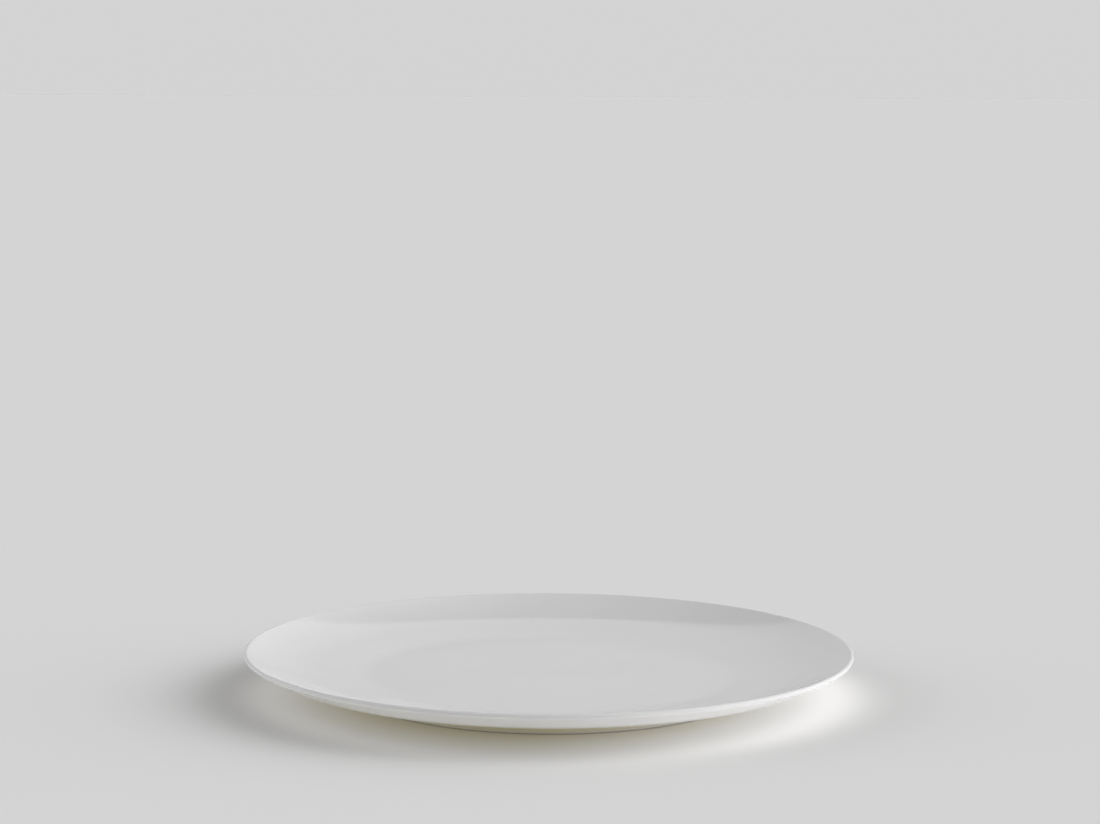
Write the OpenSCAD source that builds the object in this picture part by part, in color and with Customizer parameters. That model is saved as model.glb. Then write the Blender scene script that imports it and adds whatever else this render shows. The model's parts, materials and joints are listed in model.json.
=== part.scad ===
// A glazed porcelain coupe plate: a flat well, a wall that leaves it in a soft bend, runs straight for a
// little and then curves up to a round lip, and a low foot ring with a bare standing edge. The underside
// follows the wall in two straight stretches, of which the outer one thins it towards the lip. Sizes are
// over the glaze, in millimetres. The origin is on the table under the middle of the plate, with +Z up.

/* [Plate] */
// Diameter over the lip
plate_d = 210; // [190:1:230]
// Height of the lip above the table
plate_h = 15.4; // [13:0.1:22]
// Thickness of the wall, up to where it thins towards the lip
wall_t = 2.4; // [2:0.1:3.2]
// Thickness of the round lip
lip_t = 1.7; // [1.3:0.1:2]

/* [Face] */
// Diameter of the flat floor of the well
well_d = 120; // [104:1:136]
// Height of the well's floor above the table
well_z = 6.5; // [5.6:0.1:8.5]
// Width of the bend between the well's floor and the straight part of the wall
bend_w = 8; // [4:0.5:14]
// Width of the straight part of the wall
cone_w = 12; // [4:0.5:16]
// Slope of the straight part of the wall, in degrees
cone_slope = 7.5; // [5:0.5:9]

/* [Underside] */
// Thickness of the bottom inside the foot ring
bottom_t = 3.1; // [2.4:0.1:4]
// Radius of the turn between the two straight stretches under the wall
turn_r = 25; // [8:1:60]

/* [Foot ring] */
// Diameter over the foot ring
foot_d = 133; // [116:1:148]
// Width of the foot ring between its two side walls
foot_w = 4.6; // [3.8:0.1:7]
// Radius of the standing edge, inside and outside
foot_edge_r = 0.9; // [0.5:0.1:1.4]
// Radius of the cove between the foot ring and the plate's underside
cove_r = 1.8; // [0.8:0.1:2.2]
// Radius of the cove between the foot ring and the bottom inside it
recess_cove_r = 1.2; // [0.6:0.1:1.6]

/* [Glaze] */
// Thickness of the glaze coats
glaze_t = 0.25; // [0.15:0.05:0.4]
// Height above the table at which the glaze stops on both sides of the foot ring
bare_h = 1; // [0.8:0.1:1.4]

/* [Hidden] */

// Facets of a drawn circle, fine enough for a thin glaze
$fn = 240;
// A hair by which a round cuts into the faces that it blends, so that they meet in a clean edge
hair = 0.002;

plate_r = plate_d / 2;
well_r = well_d / 2;
foot_out_r = foot_d / 2;
foot_in_r = foot_out_r - foot_w;
foot_mid_r = foot_out_r - foot_w / 2;
half_wall = wall_t / 2;
half_lip = lip_t / 2;
lip_r = half_lip + hair;
recess_z = well_z - bottom_t;
// A level in the middle of the bottom, where the upper and lower glaze coats are told apart
split_z = well_z - bottom_t / 2;

// The lip is a circle that the face's arc and the rim's underside both touch.
lip_centre = [plate_r - lip_r, plate_h - lip_r];

// The bend leaves the well level and ends at the cone's slope. The face's arc goes on from the cone.
up_cone = [cos(cone_slope), sin(cone_slope)];
off_cone = [-sin(cone_slope), cos(cone_slope)];
bend_r = bend_w / sin(cone_slope);
bend_centre = [well_r, well_z + bend_r];
cone_start = bend_centre - bend_r * off_cone;
cone_end = cone_start + cone_w / up_cone.x * up_cone;
to_lip = lip_centre - (cone_end - half_lip * off_cone);
half_turn = atan2(to_lip.y, to_lip.x) - cone_slope;
face_arc_r = norm(to_lip) / (2 * sin(half_turn)) - half_lip;
face_centre = cone_end + face_arc_r * off_cone;
face_end_slope = cone_slope + 2 * half_turn;

// The direction square to a slope, and how far a corner between the cone and a slope goes when both lines
// are raised by one
function off(slope) = [-sin(slope), cos(slope)];
function miter_of(slope) = (off_cone + off(slope)) / (1 + off_cone * off(slope));

// Under the wall, one straight stretch lies under the cone and one runs up to the lip's circle. They meet
// in a corner under the face's arc, which a turn rounds.
under_corner = cone_end + face_arc_r * tan(half_turn) * up_cone - wall_t * miter_of(face_end_slope);
corner_to_lip = lip_centre - under_corner;
rim_slope = atan2(corner_to_lip.y, corner_to_lip.x) - asin(half_lip / norm(corner_to_lip));
off_rim = off(rim_slope);
miter = miter_of(rim_slope);
under_turn_r = min(turn_r, face_arc_r + wall_t);
turn_centre = under_corner + under_turn_r * miter;

// Height of the stretch under the cone at a distance from the axis
function under_z(x) = under_corner.y - (under_corner.x - x) * tan(cone_slope);

// The foot reaches up to the middle of the wall. The cove's circle touches its outer wall and the
// stretch under the cone.
foot_top = under_z(foot_mid_r) + half_wall;
cove_x = foot_out_r + cove_r;
cove_centre = [cove_x, under_z(cove_x) - cove_r / up_cone.x];
recess_cove_centre = [foot_in_r - recess_cove_r, recess_z - recess_cove_r];

// A disc in the section, by its centre and radius
module disc(centre, radius) {
    translate(centre) circle(r = radius);
}

// A box in the section, by its lowest and highest corners
module box(low, high) {
    translate(low) square(high - low);
}

// All that lies over the underside: the bottom inside the foot and the wall outside it
module over_underside(skin) {
    box([0, recess_z + skin], [foot_mid_r, well_z + bottom_t]);
    difference() {
        polygon([
            [foot_mid_r, under_z(foot_mid_r) + skin / up_cone.x],
            under_corner + skin * miter,
            lip_centre - (half_lip - skin) * off_rim,
            lip_centre,
            face_centre,
            [foot_mid_r, face_centre.y]
        ]);
        under_turn(skin);
    }
}

// What the turn takes off the corner under the wall
module under_turn(skin) {
    reach = 2 * under_turn_r;
    difference() {
        polygon([turn_centre, turn_centre - reach * off_cone, turn_centre - reach * off_rim]);
        disc(turn_centre, under_turn_r - skin + hair);
    }
}

// The air over the face: over the well's floor and the cone, and over the face's arc
module air_over_face(skin) {
    corner = [well_r + (bend_r + skin) * tan(cone_slope / 2), well_z - skin];
    left_end = -plate_r;
    polygon([
        [left_end, well_z - skin],
        corner,
        cone_end - skin * off_cone,
        face_centre,
        [left_end, face_centre.y]
    ]);
    disc(face_centre, face_arc_r + skin + hair);
}

// The bend that fills the corner between the well's floor and the cone
module bend_section(skin) {
    reach = bend_r + half_wall;
    difference() {
        polygon([bend_centre, bend_centre - [0, reach], bend_centre - reach * off_cone]);
        disc(bend_centre, bend_r + skin + hair);
    }
}

// The foot ring: side walls with skin taken off, and a bare round standing edge
module foot_section(skin) {
    in_x = foot_in_r + skin;
    out_x = foot_out_r - skin;
    box([in_x + foot_edge_r, 0], [out_x - foot_edge_r, foot_top]);
    box([in_x, foot_edge_r], [out_x, foot_top]);
    disc([in_x + foot_edge_r, foot_edge_r], foot_edge_r);
    disc([out_x - foot_edge_r, foot_edge_r], foot_edge_r);
}

// The cove outside the foot ring
module cove_section(skin) {
    difference() {
        polygon([
            [foot_mid_r, cove_centre.y],
            cove_centre,
            cove_centre + (cove_r + half_wall) * off_cone,
            [foot_mid_r, foot_top]
        ]);
        disc(cove_centre, cove_r + skin + hair);
    }
}

// The cove inside the foot ring
module recess_cove_section(skin) {
    difference() {
        box(recess_cove_centre, [foot_mid_r, split_z]);
        disc(recess_cove_centre, recess_cove_r + skin + hair);
    }
}

// The whole plate's section, from the axis to the lip, with skin taken off every glazed face
module plate_section(skin) {
    difference() {
        over_underside(skin);
        air_over_face(skin);
    }
    disc(lip_centre, lip_r - skin);
    bend_section(skin);
    foot_section(skin);
    cove_section(skin);
    recess_cove_section(skin);
}

// The space inside the foot ring, up to the middle of the bottom
module recess_space() {
    box([0, -plate_h], [foot_mid_r, split_z]);
}

// The porcelain itself, inside its glaze
module porcelain_body() {
    color("ivory") rotate_extrude() plate_section(glaze_t);
}

// The glaze over the face, the lip and the outside
module glaze_coat() {
    color("white") rotate_extrude() difference() {
        plate_section(0);
        plate_section(glaze_t);
        recess_space();
        box([0, -plate_h], [plate_d, bare_h]);
    }
}

// The glaze inside the foot ring
module base_glaze() {
    color("white") rotate_extrude() difference() {
        intersection() {
            plate_section(0);
            recess_space();
        }
        plate_section(glaze_t);
        box([0, -plate_h], [plate_d, bare_h]);
    }
}

porcelain_body();
glaze_coat();
base_glaze();
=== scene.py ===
"""The dessert plate's looks: glazed porcelain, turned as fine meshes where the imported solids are,
on a pale floor without an end, under soft light from all round."""

import json
import math

import bmesh
import bpy
from mathutils import Matrix, Vector

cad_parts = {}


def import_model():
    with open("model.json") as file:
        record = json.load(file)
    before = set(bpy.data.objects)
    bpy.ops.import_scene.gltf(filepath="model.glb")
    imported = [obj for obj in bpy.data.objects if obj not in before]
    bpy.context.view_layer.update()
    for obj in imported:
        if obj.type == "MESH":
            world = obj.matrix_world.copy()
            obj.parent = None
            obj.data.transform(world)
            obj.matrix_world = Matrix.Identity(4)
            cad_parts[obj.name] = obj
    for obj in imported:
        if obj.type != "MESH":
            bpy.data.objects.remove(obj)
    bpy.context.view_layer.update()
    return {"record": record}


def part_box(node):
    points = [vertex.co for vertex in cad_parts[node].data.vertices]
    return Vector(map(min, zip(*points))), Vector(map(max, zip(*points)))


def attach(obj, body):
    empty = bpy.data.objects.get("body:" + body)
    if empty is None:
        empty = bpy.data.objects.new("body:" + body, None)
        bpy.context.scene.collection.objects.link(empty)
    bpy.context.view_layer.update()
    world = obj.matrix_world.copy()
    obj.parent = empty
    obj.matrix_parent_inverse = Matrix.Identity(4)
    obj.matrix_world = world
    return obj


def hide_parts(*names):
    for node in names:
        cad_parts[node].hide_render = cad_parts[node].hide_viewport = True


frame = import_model()

MM = 0.001

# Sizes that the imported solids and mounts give, in metres
GLAZE_LOW, GLAZE_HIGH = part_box("glaze_coat")
_, BODY_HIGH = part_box("porcelain_body")
_, BASE_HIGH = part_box("base_glaze")
MOUNTS = {mount["name"]: Vector(mount["pos_m"]) for mount in frame["record"]["mounts"]}
PLATE_R = GLAZE_HIGH.x
PLATE_H = GLAZE_HIGH.z
GLAZE_T = PLATE_R - BODY_HIGH.x
BARE_H = GLAZE_LOW.z
WELL_Z = MOUNTS["well_floor"].z
RECESS_Z = BASE_HIGH.z - GLAZE_T
FOOT_IN_R = BASE_HIGH.x - GLAZE_T
FOOT_OUT_R = 2 * MOUNTS["standing_edge"].x - FOOT_IN_R

# Sizes of the section that no box shows, as in the part's source
WALL_T = 2.4 * MM
LIP_T = 1.7 * MM
WELL_R = 60 * MM
BEND_W = 8 * MM
CONE_W = 12 * MM
CONE_SLOPE = 7.5
TURN_R = 25 * MM
FOOT_EDGE_R = 0.9 * MM
COVE_R = 1.8 * MM
RECESS_COVE_R = 1.2 * MM

# How finely the meshes are turned
TURN_STEPS = 360
FINE_ARC_STEPS = 10
WALL_STEPS = 40
LIP_STEPS = 24
FLAT_STEP = 3 * MM

# The glaze's lower edge wanders a little above its lowest line, in a few waves round the foot, each by its
# count, height and phase
EDGE_WAVES = ((5, 0.05 * MM, 0.4), (11, 0.035 * MM, 2.1), (23, 0.02 * MM, 4.4))


def heading(angle):
    """The direction at an angle in degrees in the section, from outwards up."""
    return Vector((math.cos(math.radians(angle)), math.sin(math.radians(angle))))


# The face: a bend from the well's floor to a cone, and an arc from the cone to the lip
HALF_LIP = LIP_T / 2
LIP = Vector((PLATE_R - HALF_LIP, PLATE_H - HALF_LIP))
UP_CONE = heading(CONE_SLOPE)
OFF_CONE = heading(CONE_SLOPE + 90)
BEND_R = BEND_W / UP_CONE.y
BEND_CENTRE = Vector((WELL_R, WELL_Z + BEND_R))
CONE_START = BEND_CENTRE - BEND_R * OFF_CONE
CONE_END = CONE_START + CONE_W / UP_CONE.x * UP_CONE
TO_LIP = LIP - (CONE_END - HALF_LIP * OFF_CONE)
HALF_TURN = math.atan2(TO_LIP.y, TO_LIP.x) - math.radians(CONE_SLOPE)
FACE_R = TO_LIP.length / (2 * math.sin(HALF_TURN)) - HALF_LIP
FACE_CENTRE = CONE_END + FACE_R * OFF_CONE
FACE_END_SLOPE = CONE_SLOPE + 2 * math.degrees(HALF_TURN)


def miter(slope):
    """How the corner between the cone and a line at another slope moves when both are raised by one."""
    off_line = heading(slope + 90)
    return (OFF_CONE + off_line) / (1 + OFF_CONE.dot(off_line))


# The underside: a straight stretch under the rim, a turn, a straight stretch under the cone and a cove
UNDER_CORNER = CONE_END + FACE_R * math.tan(HALF_TURN) * UP_CONE - WALL_T * miter(FACE_END_SLOPE)
CORNER_TO_LIP = LIP - UNDER_CORNER
LIP_HALF_ANGLE = math.asin(HALF_LIP / CORNER_TO_LIP.length)
RIM_SLOPE = math.degrees(math.atan2(CORNER_TO_LIP.y, CORNER_TO_LIP.x) - LIP_HALF_ANGLE)
TURN_CENTRE = UNDER_CORNER + TURN_R * miter(RIM_SLOPE)
COVE_X = FOOT_OUT_R + COVE_R
COVE_DROP = (UNDER_CORNER.x - COVE_X) * UP_CONE.y / UP_CONE.x + COVE_R / UP_CONE.x
COVE_CENTRE = Vector((COVE_X, UNDER_CORNER.y - COVE_DROP))


def arc(centre, radius, start, end, steps):
    """Points on a circle in the section, between two angles in degrees."""
    return [centre + radius * heading(start + (end - start) * step / steps) for step in range(steps + 1)]


def line(start, end):
    """Points on a straight line of the section, both ends left out."""
    count = max(1, round((end - start).length / FLAT_STEP))
    return [start.lerp(end, step / count) for step in range(1, count)]


def joined(*runs):
    """Runs of a section's points, with a straight line of points between each two."""
    points = list(runs[0])
    for run in runs[1:]:
        points += line(points[-1], run[0])
        points += run
    return points


def face_to_foot(skin):
    """The section from the axis over the face, the lip and the underside to the top of the foot's outer
    wall, with skin taken off."""
    return joined(
        [Vector((0, WELL_Z - skin))],
        arc(BEND_CENTRE, BEND_R + skin, -90, CONE_SLOPE - 90, FINE_ARC_STEPS),
        arc(FACE_CENTRE, FACE_R + skin, CONE_SLOPE - 90, FACE_END_SLOPE - 90, WALL_STEPS),
        arc(LIP, HALF_LIP - skin, FACE_END_SLOPE + 90, RIM_SLOPE - 90, LIP_STEPS)[1:],
        arc(TURN_CENTRE, TURN_R - skin, RIM_SLOPE - 90, CONE_SLOPE - 90, FINE_ARC_STEPS),
        arc(COVE_CENTRE, COVE_R + skin, CONE_SLOPE + 90, 180, FINE_ARC_STEPS),
    )


def recess_to_axis(skin):
    """The section from the top of the foot's inner wall along the bottom's underside to the axis, with
    skin taken off."""
    corner = Vector((FOOT_IN_R - RECESS_COVE_R, RECESS_Z - RECESS_COVE_R))
    cove = arc(corner, RECESS_COVE_R + skin, 0, 90, FINE_ARC_STEPS)
    return joined(cove, [Vector((0, RECESS_Z + skin))])


def glaze_edge(wall_r, inward):
    """The rounded lower edge of a glaze coat on a foot wall, from its outside to its inside."""
    bead_r = GLAZE_T / 2
    centre = Vector((wall_r + inward * bead_r, BARE_H + bead_r))
    if inward < 0:
        return arc(centre, bead_r, 0, -180, FINE_ARC_STEPS)
    return arc(centre, bead_r, -180, 0, FINE_ARC_STEPS)


def standing_edge():
    """The bare foot's rounded edges and the flat between them, from the outside to the inside."""
    outer_centre = Vector((FOOT_OUT_R - GLAZE_T - FOOT_EDGE_R, FOOT_EDGE_R))
    inner_centre = Vector((FOOT_IN_R + GLAZE_T + FOOT_EDGE_R, FOOT_EDGE_R))
    outer_edge = arc(outer_centre, FOOT_EDGE_R, 0, -90, FINE_ARC_STEPS)
    inner_edge = arc(inner_centre, FOOT_EDGE_R, -90, -180, FINE_ARC_STEPS)
    return outer_edge + inner_edge


def edge_rise(angle):
    """How far the glaze's lower edge lies above its lowest line at this angle round the foot."""
    rise = 0
    for count, height, phase in EDGE_WAVES:
        rise += height * (1 + math.sin(count * angle + phase))
    return rise


def ring_of_points(mesh, point, lifted):
    """One turn of a section's point, or a single point on the axis."""
    if point.x == 0:
        return [mesh.verts.new((0, 0, point.y))]
    ring = []
    for step in range(TURN_STEPS):
        angle = 2 * math.pi * step / TURN_STEPS
        height = point.y + edge_rise(angle) if lifted else point.y
        ring.append(mesh.verts.new((point.x * math.cos(angle), point.x * math.sin(angle), height)))
    return ring


def bridge(mesh, ring, following):
    """Faces between two neighbouring rings."""
    for step in range(TURN_STEPS):
        after = (step + 1) % TURN_STEPS
        if len(ring) == 1:
            corners = (ring[0], following[step], following[after])
        elif len(following) == 1:
            corners = (ring[step], following[0], ring[after])
        else:
            corners = (ring[step], following[step], following[after], ring[after])
        mesh.faces.new(corners)


def turned(name, before, edge, after):
    """A closed body turned about the plate's axis from a section that starts and ends on it. The points
    of the edge follow the glaze's wandering lower line."""
    mesh = bmesh.new()
    rings = [ring_of_points(mesh, point, False) for point in before]
    rings += [ring_of_points(mesh, point, True) for point in edge]
    rings += [ring_of_points(mesh, point, False) for point in after]
    for ring, following in zip(rings, rings[1:]):
        bridge(mesh, ring, following)
    bmesh.ops.recalc_face_normals(mesh, faces=mesh.faces)
    for face in mesh.faces:
        face.smooth = True
    data = bpy.data.meshes.new(name)
    mesh.to_mesh(data)
    mesh.free()
    piece = bpy.data.objects.new(name, data)
    bpy.context.scene.collection.objects.link(piece)
    return piece


def dress(piece, node, material):
    """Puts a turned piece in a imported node's place, with its material."""
    piece.data.materials.append(material)
    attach(piece, "root")
    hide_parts(node)


def porcelain_body():
    """The porcelain inside its glaze, bare at the standing edge."""
    section = face_to_foot(GLAZE_T) + standing_edge() + recess_to_axis(GLAZE_T)
    return turned("bare_porcelain", section, [], [])


def glaze_coat():
    """The glaze over the face, the lip and the outside, down to its rounded edge on the foot. It is closed
    through the middle of the porcelain, so that light seeps through the wall as it does in porcelain."""
    core_r = FOOT_OUT_R - 2 * GLAZE_T
    core_z = RECESS_Z + 2 * GLAZE_T
    core_foot = Vector((core_r, BARE_H + 2 * GLAZE_T))
    core = joined([core_foot], [Vector((core_r, core_z))], [Vector((0, core_z))])
    return turned("white_glaze", face_to_foot(0), glaze_edge(FOOT_OUT_R, -1), core)


def base_glaze():
    """The glaze inside the foot ring."""
    edge = glaze_edge(FOOT_IN_R, 1)[::-1]
    return turned("recess_glaze", recess_to_axis(GLAZE_T)[::-1], edge, recess_to_axis(0))


def add(tree, kind, **settings):
    """A new node of a kind, with its attributes set."""
    made = tree.nodes.new(kind)
    for name, value in settings.items():
        setattr(made, name, value)
    return made


def feed(tree, socket, value):
    """Gives a socket a number, a vector or another node's output."""
    if isinstance(value, bpy.types.NodeSocket):
        tree.links.new(value, socket)
    else:
        socket.default_value = value


def maths(tree, operation, *values):
    """The result of a sum on numbers or outputs."""
    made = add(tree, "ShaderNodeMath", operation=operation)
    for socket, value in zip(made.inputs, values):
        feed(tree, socket, value)
    return made.outputs[0]


def parted(tree, vector):
    """The X, Y and Z outputs of a vector."""
    made = add(tree, "ShaderNodeSeparateXYZ")
    tree.links.new(vector, made.inputs[0])
    return made.outputs


def new_material(name):
    """A new material, its nodes and its principled shader."""
    material = bpy.data.materials.new(name)
    material.use_nodes = True
    tree = material.node_tree
    return material, tree, tree.nodes["Principled BSDF"]


def coordinates(tree):
    """The plate's own coordinates, with the distance from its axis and the height, in metres."""
    place = add(tree, "ShaderNodeTexCoord").outputs["Object"]
    across, along, height = parted(tree, place)
    across_squared = maths(tree, "MULTIPLY", across, across)
    radius = maths(tree, "SQRT", maths(tree, "MULTIPLY_ADD", along, along, across_squared))
    return place, radius, height


def noise(tree, place, size, detail=2.0):
    """A noise pattern whose lumps are about this size across, in metres."""
    made = add(tree, "ShaderNodeTexNoise")
    made.inputs["Scale"].default_value = 1 / size
    made.inputs["Detail"].default_value = detail
    tree.links.new(place, made.inputs["Vector"])
    return made.outputs["Fac"]


def spread(tree, value, source, target):
    """A value taken from one range to another, softly, and held at its ends."""
    made = add(tree, "ShaderNodeMapRange", interpolation_type="SMOOTHSTEP")
    tree.links.new(value, made.inputs["Value"])
    for label, number in zip(("From Min", "From Max", "To Min", "To Max"), (*source, *target)):
        made.inputs[label].default_value = number
    return made.outputs["Result"]


# Where the mix node keeps its sockets for colours
MIX_FIRST = 6
MIX_SECOND = 7
MIX_RESULT = 2


def blend(tree, share, first, second):
    """A colour between two, by a share. Each is a colour or another node's output."""
    made = add(tree, "ShaderNodeMix", data_type="RGBA")
    tree.links.new(share, made.inputs["Factor"])
    for socket, colour in ((made.inputs[MIX_FIRST], first), (made.inputs[MIX_SECOND], second)):
        feed(tree, socket, colour if isinstance(colour, bpy.types.NodeSocket) else (*colour, 1))
    return made.outputs[MIX_RESULT]


def bump(tree, height, depth, under=None):
    """A bump of this depth in metres, over another one."""
    made = add(tree, "ShaderNodeBump")
    made.inputs["Distance"].default_value = depth
    tree.links.new(height, made.inputs["Height"])
    if under is not None:
        tree.links.new(under, made.inputs["Normal"])
    return made.outputs["Normal"]


# The gloss of both glazes: the range of its roughness, and the sizes and depths of its two ripples
GLOSS = (0.05, 0.09)
GLOSS_PATCH = 9 * MM
RIPPLE = 30 * MM
RIPPLE_DEPTH = 0.012 * MM
FINE_RIPPLE = 5 * MM
FINE_RIPPLE_DEPTH = 0.0015 * MM


def glaze_surface(tree, shader, place):
    """The gloss of a fired glaze: a slow ripple, a faint fine one and a roughness that varies a little."""
    gloss = spread(tree, noise(tree, place, GLOSS_PATCH, detail=4), (0.3, 0.7), GLOSS)
    tree.links.new(gloss, shader.inputs["Roughness"])
    ripple = bump(tree, noise(tree, place, RIPPLE), RIPPLE_DEPTH)
    return bump(tree, noise(tree, place, FINE_RIPPLE), FINE_RIPPLE_DEPTH, ripple)


def clouded(tree, place, size, whites):
    """Two whites in soft clouds of about this size."""
    cloud = spread(tree, noise(tree, place, size, detail=3), (0.35, 0.65), (0, 1))
    return blend(tree, cloud, *whites)


# The white glaze: its two whites and the size of their clouds, the slightly darker white on the lip, partly
# painted shade and partly thinner glaze, and the colour and the place of the painted warm shade above the
# foot
GLAZE_WHITES = ((0.838, 0.830, 0.82), (0.852, 0.844, 0.834))
GLAZE_CLOUD = 35 * MM
LIP_SHADE_WHITE = (0.826, 0.818, 0.81)
LIP_SHADE_WHITE_AT = (PLATE_R - 1.4 * MM, PLATE_R - 0.4 * MM)
FOOT_SHADE_COLOUR = (0.78, 0.73, 0.59)
FOOT_SHADE_REACH = (FOOT_OUT_R, FOOT_OUT_R + 9 * MM)
FOOT_SHADE_TOP = (5.6 * MM, 6.4 * MM)
# Where light seeps through the wall: on faces that look down, by the height of their normal, and clear of
# the foot. How far it seeps, in the wall's middle and near the lip
SEEP_FACING = (-0.5, 0)
SEEP_START = (FOOT_OUT_R + 5 * MM, FOOT_OUT_R + 12 * MM)
SEEP_REACHES = (6 * MM, 5 * MM)
SEEP_NEAR_LIP = (PLATE_R - 8 * MM, PLATE_R - 2 * MM)


def glaze_seep(tree, shader, radius):
    """Lets light through the wall to its underside."""
    facing_up = parted(tree, add(tree, "ShaderNodeTexCoord").outputs["Normal"])["Z"]
    underside = spread(tree, facing_up, SEEP_FACING, (1, 0))
    wall = spread(tree, radius, SEEP_START, (0, 1))
    tree.links.new(maths(tree, "MULTIPLY", underside, wall), shader.inputs["Subsurface Weight"])
    reach = spread(tree, radius, SEEP_NEAR_LIP, SEEP_REACHES)
    tree.links.new(reach, shader.inputs["Subsurface Scale"])
    shader.inputs["Subsurface Radius"].default_value = (1, 1, 1)


def white_glaze():
    """Glossy white glaze on porcelain that light seeps through. It is clouded a very little, with painted
    warm shade in the cove above the foot and a slightly darker lip, partly painted shade."""
    material, tree, shader = new_material("white_glaze")
    place, radius, height = coordinates(tree)
    white = clouded(tree, place, GLAZE_CLOUD, GLAZE_WHITES)
    at_lip = spread(tree, radius, LIP_SHADE_WHITE_AT, (0, 1))
    # Painted shade: a darker, warmer colour on the underside in the cove above the foot
    near_foot = spread(tree, radius, FOOT_SHADE_REACH, (1, 0))
    below_face = spread(tree, height, FOOT_SHADE_TOP, (1, 0))
    corner_shade = maths(tree, "MULTIPLY", near_foot, below_face)
    # Partly painted shade: a slightly darker white on the lip, where the glaze is also thinner
    lip_shaded = blend(tree, at_lip, white, LIP_SHADE_WHITE)
    tree.links.new(blend(tree, corner_shade, lip_shaded, FOOT_SHADE_COLOUR), shader.inputs["Base Color"])
    glaze_seep(tree, shader, radius)
    tree.links.new(glaze_surface(tree, shader, place), shader.inputs["Normal"])
    return material


# The glaze inside the foot: its two whites, darker than outside as painted shade, and the size of their
# clouds, the colour and the place of the painted warm shade in the corner, and the rings under it
RECESS_SHADED_WHITES = ((0.79, 0.78, 0.757), (0.815, 0.805, 0.782))
RECESS_CLOUD = 25 * MM
RECESS_CORNER_SHADE_COLOUR = (0.75, 0.727, 0.655)
RECESS_CORNER_SHADE_REACH = (FOOT_IN_R - 4 * MM, FOOT_IN_R)
RING_PITCH = 2.4 * MM
RING_DEPTH = 0.003 * MM


def recess_glaze():
    """The same glaze inside the foot, with painted shade: over faint rings left by turning, darker in the
    corner.
    """
    material, tree, shader = new_material("recess_glaze")
    place, radius, _ = coordinates(tree)
    # Painted shade: whites darker than the glaze outside, and darker and warmer still in the corner
    white = clouded(tree, place, RECESS_CLOUD, RECESS_SHADED_WHITES)
    corner_shade = spread(tree, radius, RECESS_CORNER_SHADE_REACH, (0, 1))
    tree.links.new(blend(tree, corner_shade, white, RECESS_CORNER_SHADE_COLOUR), shader.inputs["Base Color"])
    rings = maths(tree, "SINE", maths(tree, "MULTIPLY", radius, 2 * math.pi / RING_PITCH))
    gloss = glaze_surface(tree, shader, place)
    tree.links.new(bump(tree, rings, RING_DEPTH, gloss), shader.inputs["Normal"])
    return material


# Bare porcelain: its two ivories and the size of their grain, the grey and the size of its worn patches,
# how high the wear goes, the range of its roughness, and its pits
IVORIES = ((0.76, 0.73, 0.67), (0.82, 0.79, 0.73))
GRAIN = 0.8 * MM
WORN_GREY = (0.60, 0.585, 0.56)
WORN_PATCH = 4 * MM
WORN_TOP = (0.05 * MM, 0.35 * MM)
BARE_ROUGHNESS = (0.78, 0.62)
PITS = 0.3 * MM
PIT_DEPTH = 0.03 * MM


def bare_porcelain():
    """Fired, unglazed porcelain: matte and ivory, with a fine grain, and worn grey where it stands."""
    material, tree, shader = new_material("bare_porcelain")
    place, _, height = coordinates(tree)
    ivory = blend(tree, noise(tree, place, GRAIN, detail=4), *IVORIES)
    patches = spread(tree, noise(tree, place, WORN_PATCH, detail=3), (0.4, 0.7), (0.2, 0.8))
    worn = maths(tree, "MULTIPLY", patches, spread(tree, height, WORN_TOP, (1, 0)))
    tree.links.new(blend(tree, worn, ivory, WORN_GREY), shader.inputs["Base Color"])
    tree.links.new(spread(tree, patches, (0, 1), BARE_ROUGHNESS), shader.inputs["Roughness"])
    tree.links.new(bump(tree, noise(tree, place, PITS, detail=3), PIT_DEPTH), shader.inputs["Normal"])
    return material


# The floor's and the light's colours, the even grey that the floor shows where nothing shades it, and half
# the floor's width in metres
FLOOR_COLOUR = (0.865, 0.859, 0.8485)
LIGHT_COLOUR = (0.971, 0.977, 0.988)
PLAIN_GREY = (0.655, 0.655, 0.655)
FLOOR_HALF = 20
# What light from the plate's underside finds on the floor, beside the foot and outside the lip: dim and warm
# beside the foot on the left, and brighter on the right, where the lamp's light is thrown back and forth
GLOW_LEFT_FOOT = (0.35, 0.326, 0.225)
GLOW_LEFT_OUTSIDE = (0.53, 0.53, 0.525)
GLOW_RIGHT_FOOT = (0.74, 0.732, 0.715)
GLOW_RIGHT_OUTSIDE = (1.03, 1.03, 1.04)
GLOW_UNDER_FOOT = 0.15
# Where the glow goes over from the left to the right, from the foot to the outside and from under the foot
LEFT_TO_RIGHT = (-0.2 * PLATE_R, 0.9 * PLATE_R)
FOOT_TO_OUTSIDE = (FOOT_OUT_R, PLATE_R + 8 * MM)
UNDER_FOOT_EDGE = (FOOT_OUT_R - 2 * MM, FOOT_OUT_R + 3 * MM)


def floor_glow(tree):
    """What light from the plate finds on the floor, in place of the bounces that aren't followed."""
    place, radius, _ = coordinates(tree)
    right = spread(tree, parted(tree, place)["X"], LEFT_TO_RIGHT, (0, 1))
    beside_foot = blend(tree, right, GLOW_LEFT_FOOT, GLOW_RIGHT_FOOT)
    outside_lip = blend(tree, right, GLOW_LEFT_OUTSIDE, GLOW_RIGHT_OUTSIDE)
    outside = spread(tree, radius, FOOT_TO_OUTSIDE, (0, 1))
    clear_of_foot = spread(tree, radius, UNDER_FOOT_EDGE, (GLOW_UNDER_FOOT, 1))
    glow = add(tree, "ShaderNodeEmission")
    tree.links.new(blend(tree, outside, beside_foot, outside_lip), glow.inputs["Color"])
    tree.links.new(clear_of_foot, glow.inputs["Strength"])
    return glow


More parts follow.
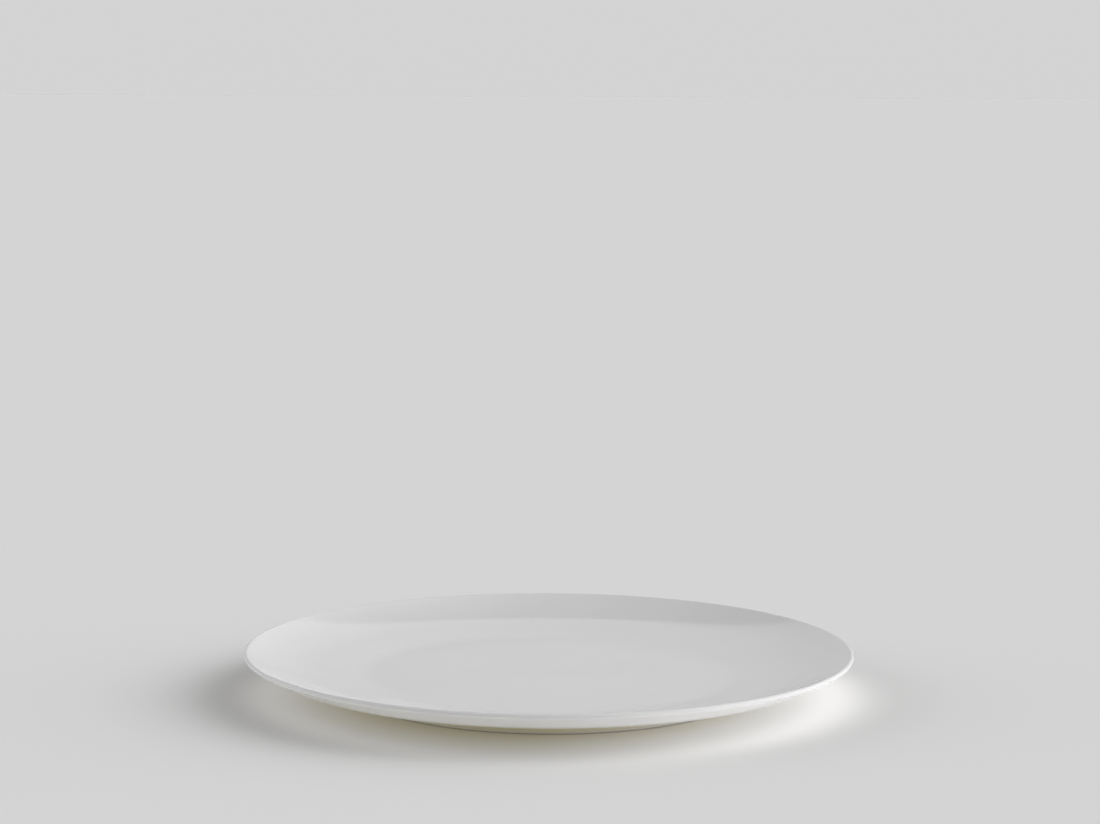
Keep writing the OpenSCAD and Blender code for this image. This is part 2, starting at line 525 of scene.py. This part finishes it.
def matte_floor():
    """A matte pale floor. Light that comes from the plate finds its glow in place of its colour."""
    material, tree, shader = new_material("pale_floor")
    shader.inputs["Base Color"].default_value = (*FLOOR_COLOUR, 1)
    shader.inputs["Roughness"].default_value = 1
    shader.inputs["Specular IOR Level"].default_value = 0
    depth = add(tree, "ShaderNodeLightPath").outputs["Diffuse Depth"]
    shared = add(tree, "ShaderNodeMixShader")
    tree.links.new(maths(tree, "GREATER_THAN", depth, 0.5), shared.inputs[0])
    tree.links.new(shader.outputs[0], shared.inputs[1])
    tree.links.new(floor_glow(tree).outputs[0], shared.inputs[2])
    tree.links.new(shared.outputs[0], tree.nodes["Material Output"].inputs["Surface"])
    return material


def pale_floor():
    """The floor of the stage, far wider than the view."""
    corners = [(x * FLOOR_HALF, y * FLOOR_HALF, 0) for x, y in ((-1, -1), (1, -1), (1, 1), (-1, 1))]
    data = bpy.data.meshes.new("floor")
    data.from_pydata(corners, [], [(0, 1, 2, 3)])
    data.materials.append(matte_floor())
    piece = bpy.data.objects.new("floor", data)
    bpy.context.scene.collection.objects.link(piece)


# The camera, fitted to the plate's lip and foot in a frame 1100 pixels wide
FRAME_W_PX = 1100
FOCAL_PX = 2900
SENSOR_W_MM = 36
CAMERA_AT = (0, -0.987, 0.215)
CAMERA_PITCH = 83.21
CAMERA_ROLL = 0.26


def camera():
    """The photograph's view."""
    data = bpy.data.cameras.new("camera")
    data.sensor_width = SENSOR_W_MM
    data.lens = FOCAL_PX * SENSOR_W_MM / FRAME_W_PX
    made = bpy.data.objects.new("camera", data)
    turn = Matrix.Rotation(math.radians(CAMERA_PITCH), 4, "X")
    roll = Matrix.Rotation(math.radians(CAMERA_ROLL), 4, "Z")
    made.matrix_world = Matrix.Translation(CAMERA_AT) @ turn @ roll
    bpy.context.scene.collection.objects.link(made)
    bpy.context.scene.camera = made


# The soft lights of the dome, each by its azimuth from the right towards the back, its elevation and the
# angle at which it has faded to about a third, in degrees, and its strength
SOFT_LIGHTS = (
    (0, 21.5, 30, 5.0),
    (180, 17, 24, 3.0),
    (195, 25, 24, 0.4),
    (55, -8, 27, 0.5),
    (270, 17, 27, 0.78),
)
CEILING = 0.01
# The share of the lights' strength that reflections show, so that the glaze doesn't glare from a side
GLINT = 0.12
# The wall behind the plate: its strength, the elevation of its top edge in degrees, how soft that edge is,
# and where it fades towards the sides
BACKDROP = 0.56
BACKDROP_TOP = 33
BACKDROP_EDGE = 0.02
BACKDROP_SIDES = (0, 0.5)


def soft_light(tree, direction, azimuth, elevation, fade, strength):
    """A round soft light in the dome, brightest in its middle."""
    out, up = heading(elevation)
    axis = Matrix.Rotation(math.radians(azimuth), 3, "Z") @ Vector((out, 0, up))
    towards = add(tree, "ShaderNodeVectorMath", operation="DOT_PRODUCT")
    tree.links.new(direction, towards.inputs[0])
    towards.inputs[1].default_value = axis
    sharpness = 1 / (1 - math.cos(math.radians(fade)))
    exponent = maths(tree, "MULTIPLY_ADD", towards.outputs["Value"], sharpness, -sharpness)
    return maths(tree, "MULTIPLY", maths(tree, "EXPONENT", exponent), strength)


def backdrop(tree, direction):
    """The paler wall of the studio behind the plate, up to its top edge."""
    _, back, up = parted(tree, direction)
    top = math.sin(math.radians(BACKDROP_TOP))
    below_top = spread(tree, up, (top - BACKDROP_EDGE, top + BACKDROP_EDGE), (BACKDROP, 0))
    behind = spread(tree, back, BACKDROP_SIDES, (0, 1))
    return maths(tree, "MULTIPLY", below_top, behind)


def world():
    """The studio's light as a dome of soft lights. The camera sees the floor's plain grey in its place."""
    made = bpy.data.worlds.new("studio")
    made.use_nodes = True
    tree = made.node_tree
    direction = add(tree, "ShaderNodeTexCoord").outputs["Generated"]
    rays = add(tree, "ShaderNodeLightPath").outputs
    lights = CEILING
    for light in SOFT_LIGHTS:
        lights = maths(tree, "ADD", lights, soft_light(tree, direction, *light))
    shown = maths(tree, "MULTIPLY_ADD", rays["Is Glossy Ray"], GLINT - 1, 1)
    level = maths(tree, "MULTIPLY_ADD", lights, shown, backdrop(tree, direction))
    dome = tree.nodes["Background"]
    dome.inputs["Color"].default_value = (*LIGHT_COLOUR, 1)
    tree.links.new(level, dome.inputs["Strength"])
    plain = add(tree, "ShaderNodeBackground")
    plain.inputs["Color"].default_value = (*PLAIN_GREY, 1)
    seen = add(tree, "ShaderNodeMixShader")
    tree.links.new(rays["Is Camera Ray"], seen.inputs[0])
    tree.links.new(dome.outputs[0], seen.inputs[1])
    tree.links.new(plain.outputs[0], seen.inputs[2])
    tree.links.new(seen.outputs[0], tree.nodes["World Output"].inputs["Surface"])
    bpy.context.scene.world = made


bpy.context.scene.view_settings.view_transform = "Standard"
dress(porcelain_body(), "porcelain_body", bare_porcelain())
dress(glaze_coat(), "glaze_coat", white_glaze())
dress(base_glaze(), "base_glaze", recess_glaze())
pale_floor()
camera()
world()
